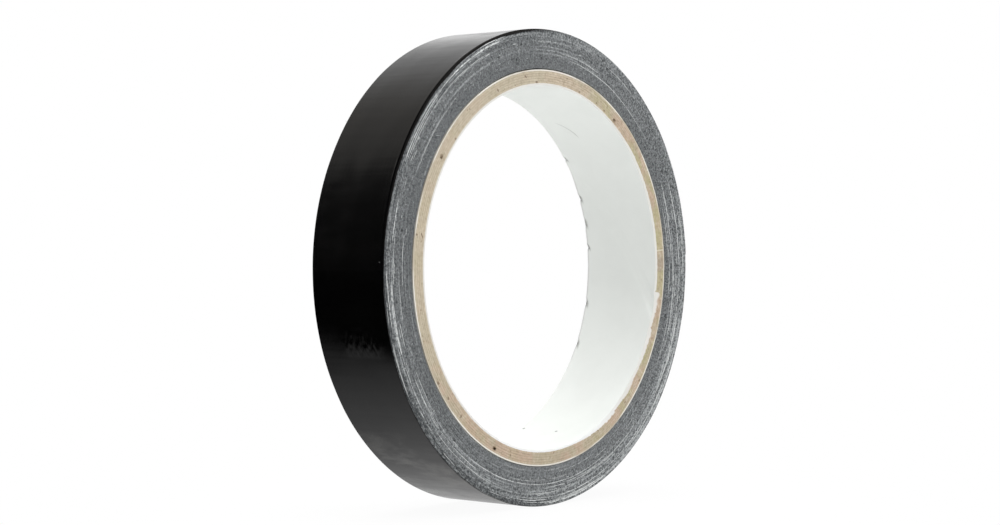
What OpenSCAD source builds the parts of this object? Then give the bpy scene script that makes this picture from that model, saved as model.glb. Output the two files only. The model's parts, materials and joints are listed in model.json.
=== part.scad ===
// Roll of black cloth-backed duct tape on a spiral-wound paper core.
//
// The roll stands on its rim: its axis lies along Y, +Z is up, and the front face is at -Y.
// The origin is the centre of the bore. All lengths are in millimetres, and all angles are
// anticlockwise from +X, seen from the front.
//
// Core: a white inner liner, kraft board plies and a pale outer liner. Each ply is a strip
// wound in a helix, so a slice of the tube shows it as a ring with a slanted butt seam, and the
// seams are staggered from ply to ply. The seam of the innermost board ply stands open, and
// the inner liner sags into it.
//
// Tape: one strip of three bonded layers, adhesive inwards, then cloth, then film outwards.
// It is wound in a spiral made of half turns, whose centres alternate by half the distance
// between two turns, so that every half turn is tangent to the next one. Its last stretch is
// the free end, which peels up about a line across the outer face.

/* [Core] */
// Diameter of the bore
bore_d = 76; // [70:0.1:80]
// Width of the slit roll, the same for the core and the tape
roll_w = 19; // [12:1:50]
// Thickness of the white inner liner
inner_liner_t = 0.38; // [0.2:0.02:0.6]
// Thickness of one kraft board ply
board_t = 0.5; // [0.3:0.02:0.8]
// Number of kraft board plies
board_plies = 5; // [2:1:6]
// Thickness of the pale outer liner
outer_liner_t = 0.3; // [0.15:0.05:0.5]
// Glue line between two plies
glue_t = 0.018; // [0.01:0.002:0.03]

/* [Core seams] */
// Width of the paper strips that the board plies are wound from
strip_w = 127; // [100:1:180]
// Width of the open seam in the innermost board ply
open_seam = 3; // [2:0.5:8]
// Gap that a butt seam leaves in the other board plies
board_seam = 0.5; // [0.3:0.1:1.5]
// Gap that a butt seam leaves in a liner
liner_seam = 0.25; // [0.1:0.05:0.6]
// How deep the inner liner sags into the open seam
sag = 0.4; // [0.1:0.05:0.45]

/* [Tape] */
// Thickness of the adhesive
adhesive_t = 0.09; // [0.06:0.005:0.15]
// Thickness of the cloth scrim
cloth_t = 0.055; // [0.04:0.005:0.12]
// Thickness of the polyethylene film
film_t = 0.077; // [0.05:0.001:0.15]
// Number of whole turns on the core
turns = 35; // [10:1:60]

/* [Free end] */
// Length of tape that is free to peel up
free_len = 25; // [15:1:40]
// Where the tape is cut off
end_angle = 3; // [0:1:60]

/* [Hidden] */
$fn = 180;
// Where the seams meet the front face, from the inner liner's outwards
seam_angles = [112, -14, 54, 146, -115, -64, 76, 20];
// Bond line between two layers of the tape
bond_t = 0.002;
// Running clearance between two turns, and under the free end
turn_gap = 0.009;
// Clearance across the peel line
root_gap = 0.01;
// Clearance between the sagging liner and the two edges of the open seam
sag_gap = 0.1;
// Largest angle that one flat slot of a seam covers
slot_turn = 10;

boards = [for (i = [1:board_plies]) str("core_board_ply_", i)];

bore_r = bore_d / 2;
board_r = bore_r + inner_liner_t + glue_t;
outer_liner_r = board_r + board_plies * (board_t + glue_t);
core_r = outer_liner_r + outer_liner_t;
// Angle between a seam and the roll's axis: the strips close edge to edge round the core
seam_slant = acos(min(1, strip_w / (PI * (bore_r + core_r))));

// The layers inside one thickness of tape, measured from its adhesive face
cloth_in = adhesive_t + bond_t;
film_in = cloth_in + cloth_t + bond_t;
tape_t = film_in + film_t;
pitch = tape_t + turn_gap;
tape_r = core_r + glue_t;
end_r = tape_r + turns * pitch;
free_angle = free_len / end_r * 180 / PI;
root_angle = free_angle + root_gap / end_r * 180 / PI;

module lay_on_axis() {
    rotate([90, 0, 0]) children();
}

// A closed ring of the roll's width, from radius r outwards
module ring(r, t) {
    rotate_extrude() translate([r, -roll_w / 2]) square([t, roll_w]);
}

// The slanted slot of a seam, through a ply that reaches from radius r outwards. It is made of
// flat slots end to end, and reaches past both faces. Plies are counted outwards from the inner
// liner, which is 0.
module seam_slot(r, t, gap, order) {
    reach = roll_w / cos(seam_slant) + gap * tan(seam_slant) + 2 * t;
    turn = reach * sin(seam_slant) / r * 180 / PI;
    lean = roll_w / 2 * tan(seam_slant) / r * 180 / PI;
    steps = ceil(turn / slot_turn);
    length = reach / steps + t;
    for (part = [(1 - steps) / 2:(steps - 1) / 2])
        rotate(seam_angles[order] + lean - turn * part / steps)
            translate([r, 0, reach * cos(seam_slant) * part / steps]) rotate([seam_slant, 0, 0])
            translate([-2 * t, -gap / 2, -length / 2]) cube([5 * t, gap, length]);
}

module ply(r, t, gap, order) {
    difference() {
        ring(r, t);
        seam_slot(r, t, gap, order);
    }
}

// Part of one half turn of a layer, between two angles from the cut end of the tape.
// Half turns are counted inwards from the cut end.
module half_turn(half, layer_in, t, from, to) {
    odd = half % 2;
    r = end_r - half * pitch / 2 + layer_in;
    translate([-odd * pitch / 2, 0, 0]) rotate(from + 180 * odd) rotate_extrude(angle = to - from)
        translate([r, -roll_w / 2]) square([t, roll_w]);
}

// A key inside the layer, across the line where a half turn starts from the one outside it.
// It makes one solid of the two at any size.
module splice(half, layer_in, t) {
    odd = half % 2;
    r = end_r - half * pitch / 2 + layer_in;
    translate([-odd * pitch / 2, 0, 0]) rotate(180 * odd)
        translate([r + t / 4, -t / 4, t / 4 - roll_w / 2]) cube([t / 2, t / 2, roll_w - t / 2]);
}

// The layer of the wound tape from the core out to the peel line
module wound_layer(layer_in, t) {
    lay_on_axis() rotate(end_angle) {
        half_turn(0, layer_in, t, root_angle, 180);
        for (half = [1:2 * turns - 1]) {
            half_turn(half, layer_in, t, 0, 180);
            splice(half, layer_in, t);
        }
    }
}

// The same layer in the free end
module free_layer(layer_in, t) {
    lay_on_axis() rotate(end_angle) half_turn(0, layer_in, t, 0, free_angle);
}

// The liner is a ring with a seam of its own. Over the open seam of the ply outside it, it
// runs deeper: a groove in the bore, and as much of a rib in the open seam.
module core_inner_liner() {
    color("white") lay_on_axis() difference() {
        union() {
            ply(bore_r, inner_liner_t, liner_seam, 0);
            intersection() {
                ring(bore_r + inner_liner_t / 2, inner_liner_t / 2 + sag);
                seam_slot(board_r, board_t, open_seam - 2 * sag_gap, 1);
            }
        }
        intersection() {
            ring(bore_r - sag, 2 * sag);
            seam_slot(board_r, board_t, open_seam - 2 * sag_gap - 2 * inner_liner_t, 1);
        }
    }
}

module core_board_ply(i) {
    color("tan") lay_on_axis()
        ply(board_r + (i - 1) * (board_t + glue_t), board_t, i == 1 ? open_seam : board_seam, i);
}

module core_outer_liner() {
    color("wheat") lay_on_axis()
        ply(outer_liner_r, outer_liner_t, liner_seam, board_plies + 1);
}

module tape_adhesive() {
    color("gray") wound_layer(0, adhesive_t);
}

module tape_cloth() {
    color("gainsboro") wound_layer(cloth_in, cloth_t);
}

module tape_film() {
    color("black") wound_layer(film_in, film_t);
}

module free_end_adhesive() {
    color("gray") free_layer(0, adhesive_t);
}

module free_end_cloth() {
    color("gainsboro") free_layer(cloth_in, cloth_t);
}

module free_end_film() {
    color("black") free_layer(film_in, film_t);
}

core_inner_liner();
for (i = [1:board_plies]) core_board_ply(i);
core_outer_liner();
tape_adhesive();
tape_cloth();
tape_film();
free_end_adhesive();
free_end_cloth();
free_end_film();
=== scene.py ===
"""Dresses a roll of black cloth-backed duct tape on a paper core.

The CAD model gives the sizes. A strip is made flat, as the tape and the core's paper are before
they are wound, and is then laid on its path. Bare yarns, thread ends and lint lie on the slit
faces. All lengths are in metres. Angles run anticlockwise from +X, seen from the front (-Y),
and turns are counted inwards from the cut end.
"""
import json
import logging
import math
import random
from dataclasses import dataclass
from enum import Enum
from typing import Optional, Sequence, Union

import bpy
import numpy as np
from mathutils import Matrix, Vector, noise


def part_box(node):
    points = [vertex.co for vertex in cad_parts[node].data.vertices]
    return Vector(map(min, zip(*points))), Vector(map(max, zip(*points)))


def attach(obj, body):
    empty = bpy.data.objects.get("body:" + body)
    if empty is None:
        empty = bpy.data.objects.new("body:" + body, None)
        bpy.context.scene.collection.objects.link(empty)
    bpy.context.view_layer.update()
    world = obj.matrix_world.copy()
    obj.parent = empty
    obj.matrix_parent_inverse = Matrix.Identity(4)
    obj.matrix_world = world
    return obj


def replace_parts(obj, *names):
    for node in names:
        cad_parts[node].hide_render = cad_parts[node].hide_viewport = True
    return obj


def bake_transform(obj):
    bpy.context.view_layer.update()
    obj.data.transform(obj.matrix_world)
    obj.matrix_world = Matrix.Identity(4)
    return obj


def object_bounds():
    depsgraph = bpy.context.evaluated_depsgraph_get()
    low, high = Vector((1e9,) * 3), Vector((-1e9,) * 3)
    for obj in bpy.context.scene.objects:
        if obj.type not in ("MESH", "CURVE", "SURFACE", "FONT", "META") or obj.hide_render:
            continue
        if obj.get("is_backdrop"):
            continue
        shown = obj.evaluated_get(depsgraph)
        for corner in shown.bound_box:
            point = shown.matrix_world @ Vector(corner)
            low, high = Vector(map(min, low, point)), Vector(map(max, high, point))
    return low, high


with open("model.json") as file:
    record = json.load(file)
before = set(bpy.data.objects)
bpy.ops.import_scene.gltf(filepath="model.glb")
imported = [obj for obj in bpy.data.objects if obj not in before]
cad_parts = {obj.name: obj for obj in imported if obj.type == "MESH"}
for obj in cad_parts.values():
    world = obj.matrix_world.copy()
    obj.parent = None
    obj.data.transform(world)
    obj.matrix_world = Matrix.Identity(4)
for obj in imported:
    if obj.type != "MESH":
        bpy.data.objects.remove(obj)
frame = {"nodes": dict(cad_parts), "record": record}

Colour = tuple[float, float, float]
Paint = Union["Socket", Colour]
Value = Union["Socket", float]
Material = bpy.types.Material
Piece = bpy.types.Object
LayerKind = tuple[str, float, float, Material]

MM = 0.001
TURN = 2 * math.pi
LOG = logging.getLogger("duct_tape_roll")
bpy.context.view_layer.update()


# ---------------------------------------------------------------- sizes


@dataclass(frozen=True)
class Roll:
    """Sizes of the roll, read from the frame.

    Attributes:
        half_width: Half the slit width.
        bore_r: Radius of the bore.
        board_r: Inner radius of the kraft board.
        liner_r: Inner radius of the pale outer liner.
        core_r: Outer radius of the core.
        outer_r: Outer radius of the film at the cut end.
        cut: Angle of the cut end, in radians.
        peel: Angle of the line that the free end peels up about, in radians.
        board_plies: Number of kraft board plies.
    """

    half_width: float
    bore_r: float
    board_r: float
    liner_r: float
    core_r: float
    outer_r: float
    cut: float
    peel: float
    board_plies: int

    @property
    def ply_pitch(self) -> float:
        """Distance from one board ply to the next."""
        return (self.liner_r - self.board_r) / self.board_plies

    @classmethod
    def from_frame(cls) -> "Roll":
        """Reads the sizes from the CAD nodes, the mounts and the joint.

        Returns:
            The sizes.
        """
        mounts = {mount["name"]: mount for mount in frame["record"]["mounts"]}
        joints = frame["record"]["behaviour"]["joints"]
        x, _, z = next(joint["pos_m"] for joint in joints if joint["name"] == "end_peel")
        plies = sum(name.startswith("core_board_ply") for name in frame["nodes"])
        first, last = (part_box(f"core_board_ply_{number}")[1].z for number in (1, plies))
        outer_r = math.hypot(x, z)
        return cls(
            half_width=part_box("tape_film")[1].y,
            bore_r=mounts["core_bore"]["dims"]["r_mm"] * MM,
            board_r=last - plies * (last - first) / (plies - 1),
            liner_r=last,
            core_r=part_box("core_outer_liner")[1].z,
            outer_r=outer_r,
            cut=math.acos(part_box("free_end_film")[1].x / outer_r),
            peel=math.atan2(z, x),
            board_plies=plies,
        )


@dataclass(frozen=True)
class Tape:
    """Build-up of the strip, from its adhesive face outwards.

    Attributes:
        adhesive_t: Thickness of the adhesive.
        cloth_t: Thickness of the cloth.
        film_t: Thickness of the film.
        bond_t: Gap between two layers.
        turn_gap: Gap between two turns.
        warp_gap: Distance between two of the cloth's warp yarns, which run along the strip.
        weft_gap: Distance between two of its weft yarns.
        turns: Number of whole turns.
    """

    adhesive_t: float = 0.09 * MM
    cloth_t: float = 0.055 * MM
    film_t: float = 0.077 * MM
    bond_t: float = 0.002 * MM
    turn_gap: float = 0.009 * MM
    warp_gap: float = 1.05 * MM
    weft_gap: float = 1.35 * MM
    turns: int = 35

    @property
    def cloth_in(self) -> float:
        """Height of the cloth's inner face."""
        return self.adhesive_t + self.bond_t

    @property
    def film_in(self) -> float:
        """Height of the film's inner face."""
        return self.cloth_in + self.cloth_t + self.bond_t

    @property
    def thickness(self) -> float:
        """Thickness of the whole strip."""
        return self.film_in + self.film_t

    @property
    def pitch(self) -> float:
        """Distance from one turn to the next."""
        return self.thickness + self.turn_gap


class Side(Enum):
    """The two slit faces of the roll, by the sign of their Y."""

    FRONT = -1
    REAR = 1


def ripple(places: Sequence[float], seed: float) -> np.ndarray:
    """Smooth noise from about -1 to 1 along a line, in steps of one unit."""
    return np.array([noise.noise(Vector((float(place), seed, 0.7))) * 1.4 for place in places])


def ease(values: np.ndarray, low: float, high: float) -> np.ndarray:
    """Smooth step from 0 at low to 1 at high; low may be the larger."""
    share = np.clip((values - low) / (high - low), 0, 1)
    return share * share * (3 - 2 * share)


@dataclass(frozen=True)
class Spiral:
    """The path of the wound strip: half turns whose centres alternate.

    Attributes:
        roll: Sizes of the roll.
        tape: Build-up of the strip.
        flat_spots: How far the build-up sinks at its loosest places.
    """

    roll: Roll
    tape: Tape
    flat_spots: float = 0.16 * MM

    @property
    def end_r(self) -> float:
        """Radius of the strip's adhesive face at the cut end."""
        return self.roll.outer_r - self.tape.thickness

    @property
    def free_turn(self) -> float:
        """Angle of the free end, from the cut to the peel line, in radians."""
        return self.roll.peel - self.roll.cut

    @property
    def last_turn(self) -> float:
        """Angle wound on the core in all, in radians."""
        return TURN * self.tape.turns

    def turned(self, turns: float, angle: float) -> float:
        """Angle turned from the cut end to a place that many turns in, or just past it."""
        return TURN * turns + (math.radians(angle) - self.roll.cut) % TURN

    def length(self, turned: np.ndarray) -> np.ndarray:
        """Length of strip between the cut end and an angle turned inwards from it."""
        return turned * (self.end_r - self.tape.pitch * turned / (2 * TURN))

    def sink(self, angle: np.ndarray) -> np.ndarray:
        """Share of the build-up that is missing at an angle, from 0 to 1: its flat spots."""
        circle = zip(np.cos(angle) * 1.7, np.sin(angle) * 1.7)
        return np.array([0.5 + 0.7 * noise.noise(Vector((x, z, 3.3))) for x, z in circle])

    def wind(self, turned: np.ndarray, across: np.ndarray, depth: np.ndarray) -> np.ndarray:
        """Lays points of the flat strip on the spiral.

        Args:
            turned: Angle turned inwards from the cut end.
            across: Place across the strip, along Y.
            depth: Height above the strip's adhesive face.

        Returns:
            The points, one row each.
        """
        half = np.floor(turned / math.pi)
        shift = -(half % 2) * self.tape.pitch / 2
        radius = self.end_r - half * self.tape.pitch / 2 + depth
        angle = self.roll.cut + turned
        share = (radius - self.roll.core_r) / (self.roll.outer_r - self.roll.core_r)
        radius = radius - self.flat_spots * self.sink(angle) * np.clip(share, 0, 1) ** 1.5
        x = shift * math.cos(self.roll.cut) + radius * np.cos(angle)
        z = shift * math.sin(self.roll.cut) + radius * np.sin(angle)
        return np.stack([x, across, z], axis=1)

    def drift(self, turned: np.ndarray) -> np.ndarray:
        """How far the whole strip has run off to the side, along Y."""
        return ripple(turned * 0.07, 1.0) * 0.05 * MM + ripple(turned * 0.6, 2.0) * 0.03 * MM


# ---------------------------------------------------------------- shaders


class Socket:
    """An output of a shader node, with arithmetic that adds Math nodes."""

    def __init__(self, graph: "Graph", output: bpy.types.NodeSocket) -> None:
        """Wraps an output socket of a graph."""
        self.graph = graph
        self.output = output

    def __add__(self, other: Value) -> "Socket":
        """Sum."""
        return self.graph.math("ADD", self, other)

    __radd__ = __add__

    def __sub__(self, other: Value) -> "Socket":
        """Difference."""
        return self.graph.math("SUBTRACT", self, other)

    def __rsub__(self, other: Value) -> "Socket":
        """Difference from a number."""
        return self.graph.math("SUBTRACT", other, self)

    def __mul__(self, other: Value) -> "Socket":
        """Product."""
        return self.graph.math("MULTIPLY", self, other)

    __rmul__ = __mul__

    def __truediv__(self, other: Value) -> "Socket":
        """Quotient."""
        return self.graph.math("DIVIDE", self, other)

    def absolute(self) -> "Socket":
        """Size without sign."""
        return self.graph.math("ABSOLUTE", self)

    def larger(self, other: Value) -> "Socket":
        """The larger of two values."""
        return self.graph.math("MAXIMUM", self, other)

    def wave(self, period: float) -> "Socket":
        """Cosine of the value, from 0 to 1 and back over one period."""
        return self.graph.math("COSINE", self * (TURN / period)) * -0.5 + 0.5

    def step(self, low: float, high: float) -> "Socket":
        """Smooth step from 0 at low to 1 at high; low may be the larger."""
        ends = {"Value": self, "From Min": low, "From Max": high}
        return self.graph.value("MapRange", {"interpolation_type": "SMOOTHSTEP"}, ends, "Result")

    def band(self, centre: float, half: float, soft: float) -> "Socket":
        """1 within half of centre, falling to 0 over soft on both sides."""
        return (self - centre).absolute().step(half + soft, half)

    def ramp(self, *stops: tuple) -> "Socket":
        """Value or colour that follows the stops, each a place and a grey or a colour."""
        return self.graph.value("ValToRGB", {"stops": stops}, {0: self})


class Graph:
    """A material's node tree, with one method that adds any node."""

    def __init__(self, name: str, tree: Optional[bpy.types.NodeTree] = None) -> None:
        """Starts an empty tree.

        Args:
            name: Name of the new material that it belongs to.
            tree: The tree to empty and use instead of a new material's.
        """
        if tree is None:
            self.material = bpy.data.materials.new(name)
            self.material.use_nodes = True
            tree = self.material.node_tree
        self.tree = tree
        self.tree.nodes.clear()

    def node(
        self, kind: str, settings: Optional[dict] = None, inputs: Optional[dict] = None
    ) -> bpy.types.Node:
        """Adds a node.

        Args:
            kind: The node's type, without the prefix that all shader nodes share.
            settings: Properties of the node, set before its sockets; "stops" holds a ramp's.
            inputs: Values or links of its sockets, by name or number.

        Returns:
            The node.
        """
        made = self.tree.nodes.new(f"ShaderNode{kind}")
        for key, value in (settings or {}).items():
            if key == "stops":
                self._set_stops(made.color_ramp, value)
            else:
                setattr(made, key, value)
        for key, value in (inputs or {}).items():
            if isinstance(value, Socket):
                self.tree.links.new(value.output, made.inputs[key])
            elif isinstance(value, bpy.types.NodeSocket):
                self.tree.links.new(value, made.inputs[key])
            else:
                made.inputs[key].default_value = value
        return made

    @staticmethod
    def _set_stops(ramp: bpy.types.ColorRamp, stops: Sequence[tuple]) -> None:
        """Sets a ramp's stops.

        Args:
            ramp: The ramp.
            stops: Its stops, each a place and a grey or a colour.
        """
        while len(ramp.elements) < len(stops):
            ramp.elements.new(0.5)
        for element, (place, colour) in zip(ramp.elements, stops):
            element.position = place
            element.color = (*(grey(colour) if isinstance(colour, float) else colour), 1.0)

    def value(
        self, kind: str, settings: Optional[dict], inputs: dict, output: Union[str, int] = 0
    ) -> Socket:
        """Adds a node as node() does, and gives one of its outputs."""
        return Socket(self, self.node(kind, settings, inputs).outputs[output])

    def math(self, operation: str, *values: Value) -> Socket:
        """Adds a Math node."""
        return self.value("Math", {"operation": operation}, dict(enumerate(values)))

    def mix(self, factor: Value, first: Paint, second: Paint) -> Socket:
        """Mixes two colours."""
        pair = {n: c if isinstance(c, Socket) else (*c, 1.0) for n, c in ((6, first), (7, second))}
        return self.value("Mix", {"data_type": "RGBA"}, {0: factor, **pair}, 2)

    def coats(self, body: Paint, *coats: tuple[Value, Paint]) -> Socket:
        """Lays colours over a first one, each with its factor.

        Args:
            body: The first colour.
            coats: Factor and colour of each coat, from the lowest to the topmost.

        Returns:
            The colour that shows.
        """
        for factor, colour in coats:
            body = self.mix(factor, body, colour)
        return body

    def axes(self, coordinates: str) -> list[Socket]:
        """The three parts of the Object, UV or world coordinates."""
        source = self.node("TexCoord").outputs[coordinates]
        return [Socket(self, part) for part in self.node("SeparateXYZ", None, {0: source}).outputs]

    def radius(self) -> Socket:
        """Distance from the roll's axis."""
        x, _, z = self.axes("Object")
        return self.math("SQRT", x * x + z * z)

    def degrees(self) -> Socket:
        """Angle around the roll's axis."""
        x, _, z = self.axes("Object")
        return self.math("ARCTAN2", z, x) * math.degrees(1)

    def towards(self, x_part: float, z_part: float, unit: float) -> Socket:
        """How far a place lies in a direction across the roll, in units of a length."""
        x, _, z = self.axes("Object")
        return x * (x_part / unit) + z * (z_part / unit)

    def noise(
        self, point: Sequence[Value], scale: float = 1.0, detail: float = 2.0, rough: float = 0.5
    ) -> Socket:
        """Adds noise, from 0 to 1 about 0.5.

        Args:
            point: The three parts of the place that it is read at.
            scale: Its scale.
            detail: Number of finer layers in it.
            rough: How strong the finer layers are.

        Returns:
            The noise.
        """
        vector = self.value("CombineXYZ", None, dict(enumerate(point)))
        inputs = {"Vector": vector, "Scale": scale, "Detail": detail, "Roughness": rough}
        return self.value("TexNoise", None, inputs)

    def surface(self, colour: Socket, roughness: Value, height: Socket, depth: float) -> Material:
        """Ends the tree with a Principled BSDF.

        Args:
            colour: Its base colour.
            roughness: Its roughness.
            height: Height of its relief.
            depth: Depth that a height of 1 stands for.

        Returns:
            The material.
        """
        normal = self.value("Bump", None, {"Height": height, "Distance": depth})
        inputs = {"Base Color": colour, "Roughness": roughness, "Normal": normal}
        self.node("OutputMaterial", None, {"Surface": self.value("BsdfPrincipled", None, inputs)})
        return self.material


def grey(level: float) -> Colour:
    """A neutral colour."""
    return (level, level, level)


@dataclass(frozen=True)
class SlitFace:
    """How the slit faces of the wound tape are toned: by turn, by arc, by speckle, and by painted light and
    shade over parts of each face.

    Attributes:
        spiral: The path of the strip.
        rim: Depth from each slit face in which its tones hold.
        core: Tone next to the core, between the dark and the pale colour of a layer.
        outer: Tone of the outer turns.
        painted_light_side: How much paler painted light makes the side at +X.
        painted_light_ends: How much paler painted light makes the top and the bottom.
        painted_light_rim: How much paler painted light makes the outermost turns on the side at +X.
        painted_light_arc: How much paler still painted light makes them at the lower right.
        painted_shade_rim: How much darker painted shade makes them on the side at -X.
        streak: How much paler a streak of dust is.
        bare_arc: The arc with few streaks: its middle, half its width and its soft edge, in degrees.
    """

    spiral: Spiral
    rim: float = 0.14 * MM
    core: float = 0.25
    outer: float = 0.3
    painted_light_side: float = 0.04
    painted_light_ends: float = 0.05
    painted_light_rim: float = 0.155
    painted_light_arc: float = 0.12
    painted_shade_rim: float = 0.25
    streak: float = 0.55
    bare_arc: tuple[float, float, float] = (44.0, 18.0, 12.0)

    def share(self, graph: Graph) -> Socket:
        """Place between the core, 0, and the outermost turn, 1."""
        roll = self.spiral.roll
        return (graph.radius() - roll.core_r) / (roll.outer_r - roll.core_r)

    def towards(self, graph: Graph, x_part: float, z_part: float) -> Socket:
        """How far a place lies in a direction across the face, in outer radii."""
        return graph.towards(x_part, z_part, self.spiral.roll.outer_r)

    def on_edge(self, graph: Graph) -> Socket:
        """1 on the two slit faces, 0 between them."""
        width = self.spiral.roll.half_width
        return graph.axes("Object")[1].absolute().step(width - 2 * self.rim, width - self.rim)

    def minus_x_side(self, graph: Graph) -> Socket:
        """1 over the side at -X, 0 over the rest: there the outermost turns get painted shade, and the film's
        slit edge on them stays black.
        """
        return self.towards(graph, 1.0, 0.0).step(0.14, -0.12)

    def painted_pit_shade(self, graph: Graph) -> Socket:
        """Painted shade in hollows between the warp yarns, sparse and in groups.

        Args:
            graph: The graph of a material.

        Returns:
            Their darkness, from 0 to 1.
        """
        x, _, z = graph.axes("Object")
        dot = graph.noise((x, z, 0.0), 1250.0, 0.0).step(0.72, 0.78)
        group = graph.noise((x, z, 0.0), 90.0, 1.0).step(0.4, 0.55)
        return dot * group * self.on_edge(graph) * self.share(graph).step(0.05, 0.3)

    def streaks(self, graph: Graph) -> Socket:
        """Pale dust along single turns, in beaded arcs.

        Args:
            graph: The graph of a material.

        Returns:
            Its paleness, from 0 to 1.
        """
        along, across, _ = graph.axes("UV")
        side = across * 200.0
        turn = graph.noise((along * 5.0, side, 1.0), detail=1.0)
        arc = graph.noise((along * 34.0, side, 2.0))
        bead = graph.noise((along * 900.0, side, 3.0), rough=0.6).step(0.35, 0.6)
        bare = graph.degrees().band(*self.bare_arc)
        dense = turn * 0.4 + arc * 0.6 + self.share(graph) * 0.07 - bare * 0.06
        return dense.step(0.55, 0.65) * (bead * 0.85 + 0.15)

    def grain(self, graph: Graph, scale: float = 2600.0) -> Socket:
        """Dusty speckle, from 0 to 1 about 0.5."""
        return graph.noise(graph.axes("Object"), scale, rough=0.75)

    def tone(self, graph: Graph) -> Socket:
        """Tone of the slit edge of a layer, with painted light and shade over parts of the face.

        Args:
            graph: The graph of its material.

        Returns:
            The share of the layer's pale colour in it, the rest being its dark one.
        """
        share = self.share(graph)
        ground = share.step(0.2, 0.5) * (self.outer - self.core) + self.core
        # Painted light: the side at +X, the top and the bottom are made paler.
        side = self.towards(graph, 0.8, -0.6) * self.painted_light_side
        side = side + self.towards(graph, 0.0, 1.0).absolute() * self.painted_light_ends
        speckle = (self.grain(graph, 2300.0) - 0.5) * (share * 1.7 + 1.2)
        speckle = speckle * (self.towards(graph, 0.3, -0.12) + 0.92)
        # Painted light and shade on the outermost turns: paler at +X and at the lower right, darker at -X.
        rim = self.painted_light_rim - self.minus_x_side(graph) * (self.painted_light_rim + self.painted_shade_rim)
        rim = rim + self.towards(graph, 0.77, -0.64).step(0.86, 0.97) * self.painted_light_arc
        return ground + side + speckle + self.streaks(graph) * self.streak + share.step(0.65, 1.0) * rim


@dataclass(frozen=True)
class FilmFinish:
    """Black polyethylene film: satin, faintly rippled over the cloth, with dust and smudges;
    the grey of the smudges on its lower side is partly painted sheen.

    Attributes:
        face: Tones of the slit faces.
        colour: Colour of the film.
        edge: Colour of its slit edge, smeared with adhesive.
        dust_and_painted_light: Colour of a smear of dust on that edge, and of the edge where painted light
            makes it paler.
        smudge_and_sheen: Colour of the smudges on its underside, which also paint sheen there.
        wiped: Colour of the patch that something has rubbed against.
        roughness: Roughness of the clean film.
        black_turns: Number of outermost turns whose slit edge stays black.
        fade: Length of strip over which the black gives way.
        rolled: Width over which its front edge is rolled over.
        creased_at: Angle of its fine creases, in degrees.
        askew_at: Angle of the stretch that isn't quite square to the slit faces, in degrees.
        askew: How strongly that stretch leans.
        wiped_at: Angle of the rubbed patch, in degrees.
    """

    face: SlitFace
    colour: Colour = (0.001, 0.001, 0.0011)
    edge: Colour = (0.035, 0.038, 0.041)
    dust_and_painted_light: Colour = (0.42, 0.44, 0.445)
    smudge_and_sheen: Colour = (0.12, 0.118, 0.112)
    wiped: Colour = (0.46, 0.5, 0.47)
    roughness: float = 0.17
    black_turns: float = 1.6
    fade: float = 90 * MM
    rolled: float = 0.5 * MM
    creased_at: float = -166.0
    askew_at: float = -165.0
    askew: float = 420.0
    wiped_at: float = -112.0

    def build(self) -> Material:
        """Builds the film's colours and its gloss.

        Returns:
            The material.
        """
        graph = Graph("black_film")
        along, across, _ = graph.axes("UV")
        y = graph.axes("Object")[1]
        last = float(self.face.spiral.length(np.array(TURN * self.black_turns)))
        black = along.step(last + self.fade, last) * self.face.minus_x_side(graph)
        edge = self.face.on_edge(graph) * (1 - black)
        # The slit edge: from smeared to pale by the face's tone, which holds painted light and shade as well
        # as dust.
        rim = graph.mix(self.face.tone(graph) * 0.85, self.edge, self.dust_and_painted_light)
        smudge = graph.noise((along * 170.0, across * 80.0, 8.0), detail=3.0, rough=0.6)
        # Lower side: smudges, whose grey is partly painted sheen.
        low = self.face.towards(graph, 0.0, 1.0).step(-0.55, -0.95)
        wiped = graph.degrees().band(self.wiped_at, 1.2, 1.6) * y.step(0.5 * MM, 3.0 * MM)
        speck = graph.noise((along, across, 0.0), 1100.0, 0.0).step(0.885, 0.91)
        body = graph.coats(
            self.colour,
            (low * smudge.step(0.45, 0.65) * 0.8, self.smudge_and_sheen),
            (wiped * smudge.step(0.3, 0.55) * 0.35, self.wiped),
            (edge, rim),
            (speck * 0.2, grey(0.3)),
        )
        rough = smudge.step(0.45, 0.75) * 0.08 + self.roughness + edge * 0.5
        return graph.surface(body, rough, self._relief(graph), 0.2 * MM)

    def _relief(self, graph: Graph) -> Socket:
        """Ripples, waves and creases of the film.

        Args:
            graph: The graph of the material.

        Returns:
            Their height.
        """
        tape = self.face.spiral.tape
        along, across, _ = graph.axes("UV")
        _, y, z = graph.axes("Object")
        degrees = graph.degrees()
        weave = along.wave(tape.weft_gap) * 0.5 + across.wave(tape.warp_gap) * 0.5
        bands = graph.noise((along * 170.0, across * 24.0, 0.0))
        clouds = graph.noise((along * 40.0, across * 60.0, 3.0))
        lines = graph.noise((along * 700.0, across * 30.0, 5.0), detail=1.0)
        creases = graph.noise((along * 420.0, across * 1100.0, 9.0), detail=1.0)
        creases = creases * degrees.band(self.creased_at, 3.0, 4.0)
        creases = creases * y.step(4.5 * MM, 1.0 * MM) * y.step(-9.0 * MM, -5.0 * MM)
        lean = (z.step(-20 * MM, -6 * MM) - 0.5) * degrees.band(self.askew_at, 14.0, 30.0)
        height = weave * 0.01 + bands * 0.3 + clouds * 1.2 + lines * 0.1 + creases * 1.8
        return height + lean * y * self.askew - self._rolled(graph)

    def _rolled(self, graph: Graph) -> Socket:
        """Front edge of the film, which the knife rolled over: most at the upper left.

        Args:
            graph: The graph of the material.

        Returns:
            How deep it is rolled over.
        """
        x, y, z = graph.axes("Object")
        start = self.face.spiral.roll.half_width - self.rolled
        over = (y * -1.0 - start).larger(0.0) * (1.0 / self.rolled)
        broken = graph.noise((x, z, 6.0), 90.0, rough=0.6).step(0.5, 0.6)
        bead = (y * -1.0).band(start - 0.1 * MM, 0.03 * MM, 0.15 * MM) * broken
        bead = bead * z.step(9 * MM, 20 * MM) * 0.2
        upper_left = self.face.towards(graph, -0.71, 0.71).step(0.35, 0.85)
        return (over * over - bead) * (upper_left + 0.05)


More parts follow.
